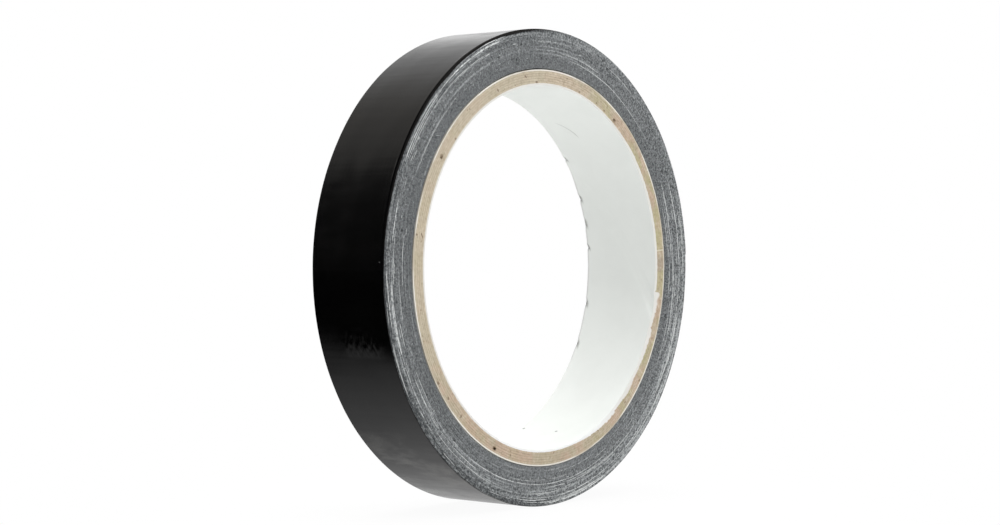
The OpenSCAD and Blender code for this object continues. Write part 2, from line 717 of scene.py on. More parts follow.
@dataclass(frozen=True)
class ClothFinish:
    """Pale cotton scrim, dulled where the adhesive has smeared over its slit edge.

    Attributes:
        face: Tones of the slit faces.
        clean: Colour of a bare yarn.
        smeared: Colour of a smeared one.
        pit_shade: Colour of the painted shade in a hollow between the yarns.
    """

    face: SlitFace
    clean: Colour = (0.6, 0.63, 0.64)
    smeared: Colour = (0.12, 0.13, 0.137)
    pit_shade: Colour = grey(0.03)

    def build(self) -> Material:
        """Builds the scrim's colours.

        Returns:
            The material.
        """
        graph = Graph("scrim_cloth")
        # The face's tone, which holds painted light and shade as well as dust, sets how bare the yarn looks.
        body = graph.mix(self.face.tone(graph) * 1.1, self.smeared, self.clean)
        # Painted shade in hollows between the warp yarns.
        body = graph.mix(self.face.painted_pit_shade(graph), body, self.pit_shade)
        return graph.surface(body, 0.85, self.face.grain(graph), 0.04 * MM)


@dataclass(frozen=True)
class AdhesiveFinish:
    """Grey rubber adhesive, with dust and lint pressed into its slit edge.

    The cloth's weave shows through its sticky face.

    Attributes:
        face: Tones of the slit faces.
        dark: Colour of its bare edge.
        pale: Colour of its palest edge, where dust and painted light add up, and of a yarn that shows
            through.
        sticky: Colour of its sticky face.
        pit_shade: Colour of the painted shade in a hollow in its edge.
    """

    face: SlitFace
    dark: Colour = (0.066, 0.074, 0.08)
    pale: Colour = (0.52, 0.54, 0.545)
    sticky: Colour = (0.3, 0.32, 0.325)
    pit_shade: Colour = (0.03, 0.032, 0.034)

    def build(self) -> Material:
        """Builds the adhesive's colours, on its edge and on its sticky face.

        Returns:
            The material.
        """
        graph = Graph("adhesive")
        face, tape = self.face, self.face.spiral.tape
        along, across, _ = graph.axes("UV")
        edge = face.on_edge(graph)
        weave = along.wave(tape.weft_gap).larger(across.wave(tape.warp_gap))
        blotch = graph.noise((along * 260.0, across * 320.0, 4.0), detail=3.0, rough=0.55)
        sticky = graph.mix(weave * 0.45 + blotch.step(0.3, 0.7) * 0.5, self.sticky, self.pale)
        # The slit edge follows the face's tone: dust, with painted light and shade.
        slit = graph.mix(face.tone(graph), self.dark, self.pale)
        # Painted shade in hollows of the slit edge and between the warp yarns.
        pit_shade_mask = (face.grain(graph, 1500.0).step(0.36, 0.27) * edge).larger(face.painted_pit_shade(graph))
        body = graph.coats(sticky, (edge, slit), (pit_shade_mask, self.pit_shade))
        height = weave * 0.8 + face.grain(graph) * 0.4
        return graph.surface(body, edge * 0.2 + 0.38, height, 0.08 * MM)


@dataclass(frozen=True)
class FibreFinish:
    """Plain cotton or paper: patches of a second colour, and fine fibres.

    Attributes:
        name: Name of the material.
        colour: Its main colour.
        patch: Colour of its soiled or duller patches.
        patches: Scale and roughness of the noise that sets them.
        onset: Levels of that noise between which a patch sets in.
        fibres: Scale, detail and roughness of the noise that stands for the fibres.
    """

    name: str
    colour: Colour
    patch: Colour
    patches: tuple[float, float]
    onset: tuple[float, float]
    fibres: tuple[float, float, float]

    def build(self) -> Material:
        """Builds the patches and the fibres.

        Returns:
            The material.
        """
        graph = Graph(self.name)
        place = graph.axes("Object")
        scale, rough = self.patches
        patch = graph.noise(place, scale, 3.0, rough).step(*self.onset)
        body = graph.mix(patch, self.colour, self.patch)
        return graph.surface(body, 0.9, graph.noise(place, *self.fibres), 0.03 * MM)


COTTON = FibreFinish(
    "cotton_yarn", (0.8, 0.82, 0.815), (0.27, 0.285, 0.29), (1300.0, 0.65), (0.46, 0.7), (9000.0, 1.0, 0.5)
)
OUTER_PAPER = FibreFinish(
    "outer_paper", (0.8, 0.77, 0.7), (0.54, 0.48, 0.38), (60.0, 0.6), (0.46, 0.62), (2600.0, 2.0, 0.6)
)


@dataclass(frozen=True)
class KraftFinish:
    """Recycled kraft board: fibres, flecks, faint lines between the plies, and painted shade round some
    seams.

    Attributes:
        roll: Sizes of the roll.
        colour: Colour of the board.
        warm: Colour of its warmer stretches.
        yellow: Colour of the stretch next to the pale cut.
        cut_at: Angle of the pale cut across the ring, in degrees.
        fibrous: Middle of its most fibrous stretch, half its width and its soft edge, in degrees.
        seam_shades: Angle in degrees, and ply, of the seams round which painted shade darkens the board.
    """

    roll: Roll
    colour: Colour = (0.5, 0.43, 0.31)
    warm: Colour = (0.54, 0.41, 0.305)
    yellow: Colour = (0.47, 0.43, 0.25)
    cut_at: float = 5.2
    fibrous: tuple[float, float, float] = (12.0, 60.0, 40.0)
    seam_shades: Sequence[tuple[float, float]] = ((54, 2), (146, 3), (-115, 4))

    def build(self) -> Material:
        """Builds the board's colours, coat by coat.

        Returns:
            The material.
        """
        graph = Graph("kraft_board")
        roll = self.roll
        x, y, z = place = graph.axes("Object")
        radius, degrees = graph.radius(), graph.degrees()
        patch = graph.noise(place, 170.0, 3.0, 0.65).step(0.42, 0.6)
        fibre = graph.noise(place, 1300.0, 3.0, 0.75)
        fleck = graph.noise((x, y * 0.3, z), 820.0, 1.0).step(0.7, 0.75)
        line = (radius - roll.board_r).wave(roll.ply_pitch).step(0.16, 0.0)
        bleached = graph.towards(-1.0, 1.0, roll.core_r).step(-0.2, 1.2)
        yellowed = graph.noise((x, z, 4.0), 140.0).step(0.5, 0.6)
        yellowed = yellowed * (graph.towards(1.0, 0.0, roll.core_r).step(-0.1, 0.6) * 0.6 + 0.2)
        rough = degrees.band(*self.fibrous) * 0.1 + 0.3
        streak = graph.noise((degrees * 0.16, radius * 2600.0, 0.0), rough=0.6)
        body = graph.coats(
            self.colour,
            (patch * (1 - bleached * 0.6), self.warm),
            (yellowed, self.yellow),
            (degrees.band(self.cut_at + 3, 3.0, 0.6) * 0.8, self.yellow),
            (degrees.band(self.cut_at - 4.5, 1.5, 1.5) * 0.35, (0.22, 0.19, 0.16)),
            (streak.step(0.5, 0.72) * rough, (0.3, 0.24, 0.18)),
            (streak.step(0.45, 0.25) * rough, (0.7, 0.64, 0.53)),
            (bleached * 0.25, (0.66, 0.6, 0.48)),
            (fibre.step(0.5, 0.72) * rough, (0.76, 0.7, 0.58)),
            (fibre.step(0.5, 0.3) * rough, (0.27, 0.21, 0.15)),
            (line * 0.25, (0.24, 0.18, 0.12)),
            (degrees.band(self.cut_at, 0.12, 0.2) * 0.7, (0.72, 0.68, 0.56)),
            (fleck * 0.7, (0.16, 0.11, 0.07)),
        )
        # Painted shade round seams whose slots lie in shade.
        for angle, ply in self.seam_shades:
            middle = roll.board_r + (ply - 0.5) * roll.ply_pitch
            aside = x - middle * math.cos(math.radians(angle))
            above = z - middle * math.sin(math.radians(angle))
            near = graph.math("SQRT", aside * aside + above * above).step(0.75 * MM, 0.25 * MM)
            body = graph.mix(near * 0.6, body, (0.2, 0.13, 0.07))
        return graph.surface(body, 0.92, fibre * 0.8 + line * 0.3, 0.06 * MM)


@dataclass(frozen=True)
class LinerFinish:
    """White liner paper: cloudy, creased, creamy at its cut edge and grey where it is torn;
    painted shade darkens the crease, the cut edge and the tears, and painted light the cut edge
    near the bottom.

    Attributes:
        roll: Sizes of the roll.
        colour: Colour of the paper.
        shade: Colour of its denser clouds.
        edge: Colour of the cut edge: creamier than the paper, and darker with painted shade.
        painted_light_low_edge: Colour of the cut edge near the bottom: painted light, paler than the paper.
        rear_rim_tint: Colour of a darker, purplish band along the rear rim over the sides.
        torn: Colour of torn fibres; the dark grey that it has by default also paints shade in the liner's
            tears.
        crease: Middle of the crease, as angle in degrees and place along Y.
        specks: Specks of dirt, placed in the same way.
    """

    roll: Roll
    colour: Colour = (0.77, 0.79, 0.765)
    shade: Colour = (0.75, 0.77, 0.745)
    edge: Colour = (0.74, 0.72, 0.68)
    painted_light_low_edge: Colour = grey(0.92)
    rear_rim_tint: Colour = (0.46, 0.44, 0.46)
    torn: Colour = (0.13, 0.125, 0.12)
    crease: tuple[float, float] = (52.5, 3.1 * MM)
    specks: Sequence[tuple[float, float]] = ((-69.0, -0.9 * MM), (-68.6, 8.4 * MM))

    def build(self) -> Material:
        """Builds the paper's colours, coat by coat.

        Returns:
            The material.
        """
        graph = Graph("liner_paper")
        roll = self.roll
        along = graph.axes("UV")[0]
        _, y, z = place = graph.axes("Object")
        cloud = graph.noise(place, 130.0, 3.0, 0.55).step(0.35, 0.7)
        fibre = graph.noise(place, 2200.0, rough=0.6)
        cut = y.absolute().step(roll.half_width - 0.12 * MM, roll.half_width - 0.03 * MM)
        low = z.step(-0.7 * roll.bore_r, -0.98 * roll.bore_r)
        rim = y.step(roll.half_width - 0.8 * MM, roll.half_width) * z.absolute().step(26 * MM, 18 * MM)
        fold = self._fold(graph)
        body = graph.coats(
            self.colour,
            (cloud, self.shade),
            # The cut edge: cream with painted shade, and painted light near the bottom.
            (cut * 0.8, graph.mix(low, self.edge, self.painted_light_low_edge)),
            # Painted shade along the crease.
            (fold * 0.6, grey(0.3)),
            # A darker, purplish band along the rear rim over the sides.
            (rim * rim * 0.45, self.rear_rim_tint),
        )
        for angle, side in self.specks:
            aside = along - math.radians(angle) * roll.bore_r
            speck = (aside * aside + (y - side) * (y - side)).step(0.16 * MM * MM, 0.03 * MM * MM)
            body = graph.mix(speck * 0.8, body, grey(0.22))
        # Tears: torn fibres, darkened with painted shade in the notches.
        wear = graph.value("Attribute", {"attribute_name": "wear"}, {}, "Fac")
        body = graph.mix(wear * (fibre.step(0.3, 0.6) * 0.5 + 0.5), body, self.torn)
        return graph.surface(body, 0.88, fibre * 0.15 - fold, 0.06 * MM)

    def _fold(self, graph: Graph) -> Socket:
        """The crease: short, slanted and slightly curved; its depth also sets the painted shade along it.

        Args:
            graph: The graph of the material.

        Returns:
            Its depth, from 0 to 1.
        """
        along, across, _ = graph.axes("UV")
        away = along - math.radians(self.crease[0]) * self.roll.bore_r
        off = (across - self.crease[1]) - away * 0.62 - away * away * 90.0
        return off.band(0.0, 0.02 * MM, 0.16 * MM) * away.absolute().step(3.2 * MM, 1.4 * MM)


# ---------------------------------------------------------------- modelling


def deselect_all() -> None:
    """Leaves nothing selected, in object mode."""
    if bpy.context.object and bpy.context.object.mode != "OBJECT":
        bpy.ops.object.mode_set(mode="OBJECT")
    bpy.ops.object.select_all(action="DESELECT")


def select_only(piece: Piece) -> None:
    """Selects one piece and makes it the active one.

    Args:
        piece: The piece.
    """
    deselect_all()
    piece.select_set(True)
    bpy.context.view_layer.objects.active = piece


def add_object(name: str, data: bpy.types.ID) -> Piece:
    """Adds an object to the scene.

    Args:
        name: Its name.
        data: What it shows.

    Returns:
        The object.
    """
    made = bpy.data.objects.new(name, data)
    bpy.context.collection.objects.link(made)
    return made


def around(radius: np.ndarray, angle: np.ndarray, y: np.ndarray) -> np.ndarray:
    """Points at a radius and an angle round the roll's axis, one row each."""
    return np.stack([radius * np.cos(angle), y, radius * np.sin(angle)], axis=1)


def finish_piece(
    piece: Piece, name: str, finish: Material, body: Optional[str] = "roll"
) -> Piece:
    """Finishes a piece that is modelled.

    Args:
        piece: The piece.
        name: Its name.
        finish: Its material.
        body: The body that it rides on; None leaves it unattached.

    Returns:
        The piece.
    """
    piece.name = piece.data.name = name
    piece.data.materials.clear()
    piece.data.materials.append(finish)
    if body:
        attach(piece, body)
    LOG.info("%s: %d faces", name, len(piece.data.polygons))
    return piece


@dataclass
class Sheet:
    """A flat strip with a thickness, which is then laid on its path.

    Attributes:
        rows: Number of faces along it.
        columns: Number of faces across it.
        smooth: Largest angle between faces that are shaded as one, in radians.
    """

    rows: int
    columns: int
    smooth: float = math.radians(40)

    def __post_init__(self) -> None:
        """Makes the flat strip, one unit long, wide and thick, and reads its points."""
        deselect_all()
        bpy.ops.mesh.primitive_grid_add(x_subdivisions=self.rows, y_subdivisions=self.columns, size=1.0)
        self.piece = bpy.context.object
        solid = self.piece.modifiers.new("thickness", "SOLIDIFY")
        solid.thickness, solid.offset = 1.0, 1.0
        bpy.ops.object.modifier_apply(modifier=solid.name)
        flat = np.empty(len(self.piece.data.vertices) * 3)
        self.piece.data.vertices.foreach_get("co", flat)
        flat = flat.reshape(-1, 3)
        self.along = flat[:, 0] + 0.5
        self.across = flat[:, 1] * 2
        self.layer = np.clip(flat[:, 2], 0, 1)

    def lay(self, places: np.ndarray, along: np.ndarray, wide: np.ndarray) -> Piece:
        """Puts the strip's points in place, maps them and shades them.

        Args:
            places: The points, one row each.
            along: Length along the strip at each point, for its map.
            wide: Place across it, for its map.

        Returns:
            The piece.
        """
        mesh = self.piece.data
        mesh.vertices.foreach_set("co", places.astype(np.float32).ravel())
        corner = np.empty(len(mesh.loops), dtype=np.int32)
        mesh.loops.foreach_get("vertex_index", corner)
        uv = mesh.uv_layers[0] if mesh.uv_layers else mesh.uv_layers.new(name="strip")
        uv.data.foreach_set("uv", np.stack([along, wide], axis=1)[corner].astype(np.float32).ravel())
        mesh.update()
        select_only(self.piece)
        bpy.ops.object.shade_smooth_by_angle(angle=self.smooth)
        return self.piece

    def wear(self, share: np.ndarray) -> None:
        """Marks how torn the paper is at each point, from 0 to 1, for its finish."""
        mark = self.piece.data.attributes.new("wear", "FLOAT", "POINT")
        mark.data.foreach_set("value", share.astype(np.float32))


@dataclass
class Layer:
    """One layer of the tape, from one turned angle to another.

    Attributes:
        spiral: The path it is wound on.
        depth: Height of its inner face above the strip's adhesive face.
        thick: Its thickness.
        start: Turned angle where it starts, the smaller.
        stop: Turned angle where it stops.
        step: Turned angle of one row of faces.
        columns: Number of faces across it.
        recess: How far its slit edges lie inside the roll's width.
        fray: How unevenly they were slit.
        swell: How far the outer face stands off at its loosest places.
        burr: How far the outermost turn's film is dragged down over the slit faces.
        burr_at: Angle of the middle of that burr, in radians.
        curl: How far that burr stands out from the slit faces.
        ragged: How uneven the torn end is, where the layer has it.
    """

    spiral: Spiral
    depth: float
    thick: float
    start: float
    stop: float
    step: float = math.radians(3)
    columns: int = 4
    recess: float = 0.03 * MM
    fray: float = 0.02 * MM
    swell: float = 0.0
    burr: float = 0.0
    burr_at: float = math.radians(128)
    curl: float = 0.09 * MM
    ragged: float = 0.0

    def build(self) -> Piece:
        """Makes the layer flat, gives it its thickness and winds it.

        Returns:
            The piece.
        """
        rows = max(2, round((self.stop - self.start) / self.step))
        sheet = Sheet(rows, self.columns)
        turned = self.stop - sheet.along * (self.stop - self.start)
        side, rim = np.sign(sheet.across), np.abs(sheet.across) > 0.999
        near = np.clip(np.abs(sheet.across), 0, 1) ** 6
        flat = sheet.across * self.spiral.roll.half_width
        wide = flat + side * (sheet.layer - 0.5) * self.thick * rim
        along = self.spiral.length(turned)
        fray = ripple(turned * 9.0, self.depth / MM + 4) * self.fray
        across = flat - (self.recess + fray) * side * near + self.spiral.drift(turned) * near
        depth = self.depth + sheet.layer * self.thick
        if self.swell:
            depth = depth + sheet.layer * self._slack(turned, sheet.across)
        if self.burr:
            lip = (1 - sheet.layer) * rim * self._lip(turned)
            depth = depth - lip * self.burr
            across = across + side * (self.recess * rim + self.curl * lip)
        if self.ragged:
            tear = ripple(sheet.across * 7.0, self.depth / MM) + ripple(sheet.across * 31.0, 9.0) * 0.4
            turned = turned + tear * self.ragged / self.spiral.end_r * ease(turned, self.stop * 0.3, 0.0)
        return sheet.lay(self.spiral.wind(turned, across, depth), along, wide)

    def _slack(self, turned: np.ndarray, across: np.ndarray) -> np.ndarray:
        """How far the outer face stands off, where the last turn isn't quite tight."""
        points = (Vector((turn * 3.7, wide * 0.8, 1.0)) for turn, wide in zip(turned, across))
        return np.array([max(0.0, noise.noise(point) + 0.3) for point in points]) * self.swell

    def _lip(self, turned: np.ndarray) -> np.ndarray:
        """Share of the burr around the roll: most of it lies over the upper left."""
        away = self.spiral.roll.cut + turned - self.burr_at
        return (0.08 + 0.92 * ease(np.cos(away), 0.5, 0.95)) * (0.8 + 0.35 * ripple(turned * 6.0, 3.0))


@dataclass
class Thread:
    """Fine cotton: an edge yarn, a thread end or a hair of lint.

    Attributes:
        points: Points that it passes through, one row each.
        radius: Its radius.
    """

    points: np.ndarray
    radius: float

    def build(self) -> Piece:
        """Makes the thread as a curve with a four-sided section, turned to a closed mesh.

        Returns:
            The piece.
        """
        curve = bpy.data.curves.new("thread", "CURVE")
        curve.dimensions, curve.bevel_depth = "3D", self.radius
        curve.bevel_resolution, curve.use_fill_caps = 0, True
        spline = curve.splines.new("POLY")
        spline.points.add(len(self.points) - 1)
        for point, place in zip(spline.points, self.points):
            point.co = (*place, 1.0)
        select_only(add_object("thread", curve))
        bpy.ops.object.convert(target="MESH")
        return bpy.context.object


def join(pieces: Sequence[Piece]) -> Piece:
    """Joins pieces and shades them smooth.

    Args:
        pieces: The pieces.

    Returns:
        The first one, with the others in it.
    """
    deselect_all()
    for piece in pieces:
        piece.select_set(True)
    bpy.context.view_layer.objects.active = pieces[0]
    bpy.ops.object.join()
    bpy.ops.object.shade_smooth()
    return bpy.context.object


# ---------------------------------------------------------------- tape


@dataclass
class WoundTape:
    """The tape on the core and its free end.

    Attributes:
        spiral: The path of the strip.
        face: Tones of its slit faces.
        bend: Angle of the stretch next to the peel line, in radians.
    """

    spiral: Spiral
    face: SlitFace
    bend: float = math.radians(9)

    def build(self) -> None:
        """Builds the three layers, wound and free."""
        tape = self.spiral.tape
        film = "black_film", tape.film_in, tape.film_t, FilmFinish(self.face).build()
        cloth = "scrim_cloth", tape.cloth_in, tape.cloth_t, ClothFinish(self.face).build()
        adhesive = "adhesive", 0.0, tape.adhesive_t, AdhesiveFinish(self.face).build()
        root, last = self.spiral.free_turn, self.spiral.last_turn
        self._wound("adhesive", "adhesive_wound", adhesive, root, last)
        self._wound("cloth", "cloth_wound", cloth, root, last, recess=0.05 * MM)
        self._wound("film", "film_wound", film, TURN, last, recess=0.02 * MM)
        self._wound(
            "film", "film_outer_turn", film, root, TURN,
            step=math.radians(0.8), columns=32, recess=0.02 * MM, swell=0.05 * MM, burr=0.55 * MM,
        )
        self._free("adhesive", adhesive, 0.15 * MM)
        self._free("cloth", cloth, 0.35 * MM)
        self._free("film", film, 0.25 * MM)

    def _wound(
        self, part: str, name: str, kind: LayerKind, start: float, stop: float, **shape: float
    ) -> None:
        """Builds wound turns of one layer.

        Args:
            part: The layer, as the CAD node calls it.
            name: Name of the piece.
            kind: Its slot, depth, thickness and finish.
            start: Turned angle where it starts.
            stop: Turned angle where it stops.
            shape: Sizes of the Layer that aren't its usual ones.
        """
        slot, depth, thick, finish = kind
        layer = Layer(self.spiral, depth, thick, start, stop, **shape)
        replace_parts(finish_piece(layer.build(), name, finish), f"tape_{part}")

    def _free(self, part: str, kind: LayerKind, ragged: float) -> None:
        """Builds one layer of the free end.

        Args:
            part: The layer, as the CAD node calls it.
            kind: Its slot, depth, thickness and finish.
            ragged: How uneven its torn end is.
        """
        slot, depth, thick, finish = kind
        root = self.spiral.free_turn
        layer = Layer(self.spiral, depth, thick, 0.0, root, math.radians(0.4), 64, ragged=ragged)
        piece = finish_piece(layer.build(), f"{part}_free_end", finish, body=None)
        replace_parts(piece, f"free_end_{part}")
        self._rim(root)
        self._rim(root - self.bend)
        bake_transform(piece)

    def _rim(self, turned: float) -> tuple[float, ...]:
        """A point on the outer face at a turned angle."""
        place = (turned, 0.0, self.spiral.tape.thickness)
        return tuple(map(float, self.spiral.wind(*(np.array([part]) for part in place))[0]))


@dataclass
class EdgeYarns:
    """Warp yarns that the slitting knife laid bare, each along an arc of one turn.

    Attributes:
        spiral: The path of the strip.
        side: The slit face that they lie on.
        radius: Radius of a yarn.
        sunk: How deep its middle lies below the slit face.
        dive: How much deeper its ends lie.
        wander: How far it strays from its turn.
        step: Angle from one of its points to the next, in degrees.
        long_arcs: Turns in from the cut end, start and stop in degrees of the longest ones, given one by
            one, the last two by guess.
        rear_turn: How far they are turned on the rear face, in degrees.
        long: Sweep above which a yarn counts as long, and is thickest, in degrees.
        middling: Sweep above which it is thicker than the short ones.
        middle_count: Number of middling ones.
        short_count: Number of short ones.
        bare: Angles, in degrees, between which none of these starts: they start below them.
    """

    spiral: Spiral
    side: Side
    radius: float = 0.09 * MM
    sunk: float = 0.065 * MM
    dive: float = 0.1 * MM
    wander: float = 0.08 * MM
    step: float = 1.2
    long_arcs: Sequence[tuple[float, float, float]] = (
        (19, -128, -57), (11, -140, -109), (11, -99, -79), (15, -79, -45), (7, -73, -51), (3, -101, -56),
        (2, -92, -60), (23, 41, 81), (23, 0, 24), (11, 0, 26), (8, 45, 67), (10, 112, 156), (10, 163, 174),
        (8, 133, 153), (6, 132, 155), (4, 134, 152), (9, -178, -160), (10, -157, -142), (19, 176, 196),
        (5, -60, -32), (9, -40, -14),
    )
    rear_turn: float = 137
    long: float = 28.0
    middling: float = 10.0
    middle_count: int = 54
    short_count: int = 110
    bare: tuple[float, float] = (14.0, 64.0)

    def build(self, finish: Material) -> None:
        """Builds the yarns of this face as one piece.

        Args:
            finish: Their material.
        """
        rng = random.Random(self.side.value * 7 + 20)
        turn = 0 if self.side is Side.FRONT else self.rear_turn
        arcs = [(turns, start + turn, stop + turn) for turns, start, stop in self.long_arcs]
        for number in range(self.middle_count + self.short_count):
            turns = int(2 + (self.spiral.tape.turns - 4) * (1 - rng.random() ** 0.6))
            start = rng.uniform(-180, 180)
            sweep = rng.uniform(6, 24) if number < self.middle_count else 1 + 6 * rng.random() ** 2
            if self.bare[0] < start - turn < self.bare[1]:
                start -= self.bare[1] - self.bare[0]
            arcs.append((turns, start, start + sweep))
        yarns = [self._yarn(*arc, rng) for arc in arcs]
        finish_piece(join(yarns), f"edge_yarns_{self.side.name.lower()}", finish)

    def _yarn(self, turns: float, start: float, stop: float, rng: random.Random) -> Piece:
        """Builds one yarn, a little loose.

        Args:
            turns: Turns in from the cut end.
            start: Angle where it starts, in degrees.
            stop: Angle where it stops.
            rng: Source of random numbers.

        Returns:
            The piece.
        """
        first = self.spiral.turned(turns, start)
        steps = max(4, round((stop - start) / self.step))
        turned = first + np.radians(np.linspace(0, stop - start, steps))
        tape, seed = self.spiral.tape, rng.uniform(0, 90)
        depth = tape.cloth_in + tape.cloth_t / 2 + ripple(turned * 9, seed) * self.wander
        ends = np.abs(np.linspace(-1, 1, steps)) ** 6 * self.dive
        stand = self.spiral.roll.half_width - self.sunk + ripple(turned * 7, seed + 1) * 0.02 * MM - ends
        across = self.side.value * stand + self.spiral.drift(turned)
        wide = self.radius * rng.uniform(*((0.8, 1.25) if stop - start > self.middling else (0.6, 1.0)))
        wide *= 1.15 if stop - start > self.long else 1.0
        wide *= 1.2 - 0.6 * turns / tape.turns
        return Thread(self.spiral.wind(turned, across, depth), wide).build()


@dataclass
class Lint:
    """Loose cotton hairs that stick to a slit face.

    Attributes:
        spiral: The path of the strip.
        side: The slit face that they lie on.
        count: Number of hairs.
        radius: Radius of a hair.
        steps: Number of straight pieces in a hair.
        combed: Radius, in millimetres, and angle of some that lie across the turns.
        stray: Ends, in millimetres, of a straight thread that lies across the turns.
    """

    spiral: Spiral
    side: Side
    count: int = 46
    radius: float = 0.02 * MM
    steps: int = 6
    combed: Sequence[tuple[float, float]] = ((42.5, 73.7), (43.9, 59.0), (45.0, 23.6))
    stray: Sequence[tuple[float, float]] = ((37.9, -13.6), (47.2, -14.1))

    def build(self, finish: Material) -> None:
        """Builds the hairs of this face as one piece.

        Args:
            finish: Their material.
        """
        rng = random.Random(self.side.value * 3 + 50)
        roll = self.spiral.roll
        hairs = [self._hair(rng, place * MM, math.radians(angle), 0.0) for place, angle in self.combed]
        for _ in range(self.count):
            place = rng.uniform(roll.core_r + 0.3 * MM, roll.outer_r - 0.6 * MM)
            hairs.append(self._hair(rng, place, rng.uniform(-math.pi, math.pi), rng.uniform(0, 7)))
        share = np.linspace(0, 1, 24)
        (x1, z1), (x2, z2) = self.stray
        height = self.side.value * (roll.half_width / MM + 0.04 + 0.015 * ripple(share * 20, 4.0))
        line = np.stack([x1 + (x2 - x1) * share, height, z1 + (z2 - z1) * share], axis=1) * MM
        hairs.append(Thread(line, self.radius).build())
        finish_piece(join(hairs), f"lint_{self.side.name.lower()}", finish)

    def _hair(self, rng: random.Random, place: float, angle: float, across: float) -> Piece:
        """Builds one curly hair that lies on the face.

        Args:
            rng: Source of random numbers.
            place: Radius of its first point.
            angle: Angle of that point.
            across: Angle between the hair and that radius; 0 for a combed one.

        Returns:
            The piece.
        """
        roll = self.spiral.roll
        heading, curl = angle + across, rng.uniform(-1.4, 1.4) if across else 0.4
        length = (rng.uniform(0.4, 1.3) if across else 0.8) * MM
        x, z = place * math.cos(angle), place * math.sin(angle)
        points = []
        for step in range(self.steps + 1):
            lift = (0.02 + 0.06 * math.sin(math.pi * step / self.steps)) * MM
            points.append((x, self.side.value * (roll.half_width + lift), z))
            x += math.cos(heading) * length / self.steps
            z += math.sin(heading) * length / self.steps
            heading += curl / self.steps * 2
        return Thread(np.array(points), self.radius * rng.uniform(0.7, 1.5)).build()


@dataclass
class ThreadEnds:
    """Warp yarns that stick out of the torn end of the tape.

    Attributes:
        spiral: The path of the strip.
        margin: Distance between the outermost ones and the slit faces, at least.
        root: Length that lies inside the tape.
        radius: Radius of a yarn.
        points: Number of points along a yarn.
    """

    spiral: Spiral
    margin: float = 0.4 * MM
    root: float = 0.6 * MM
    radius: float = 0.035 * MM
    points: int = 7

    def build(self, finish: Material) -> None:
        """Builds the thread ends as one piece, which moves with the free end.

        Args:
            finish: Their material.
        """
        rng = random.Random(11)
        gap = self.spiral.tape.warp_gap
        count = int(2 * (self.spiral.roll.half_width - self.margin) / gap)
        ends = [self._end((step - count / 2) * gap, rng) for step in range(count + 1)]
        finish_piece(join(ends), "thread_ends", finish, body="free_end")

    def _end(self, across: float, rng: random.Random) -> Piece:
        """Builds one thread end, frayed to the side.

        Args:
            across: Its place across the strip.
            rng: Source of random numbers.

        Returns:
            The piece.
        """
        tape = self.spiral.tape
        out = rng.uniform(0.25, 0.8) * MM
        along = np.linspace(self.root, -out, self.points)
        side = across + rng.uniform(-0.25, 0.25) * MM * (np.linspace(0, 1, self.points) ** 2)
        depth = np.full(self.points, tape.cloth_in + tape.cloth_t / 2)
        return Thread(self.spiral.wind(along / self.spiral.end_r, side, depth), self.radius).build()


# ---------------------------------------------------------------- core


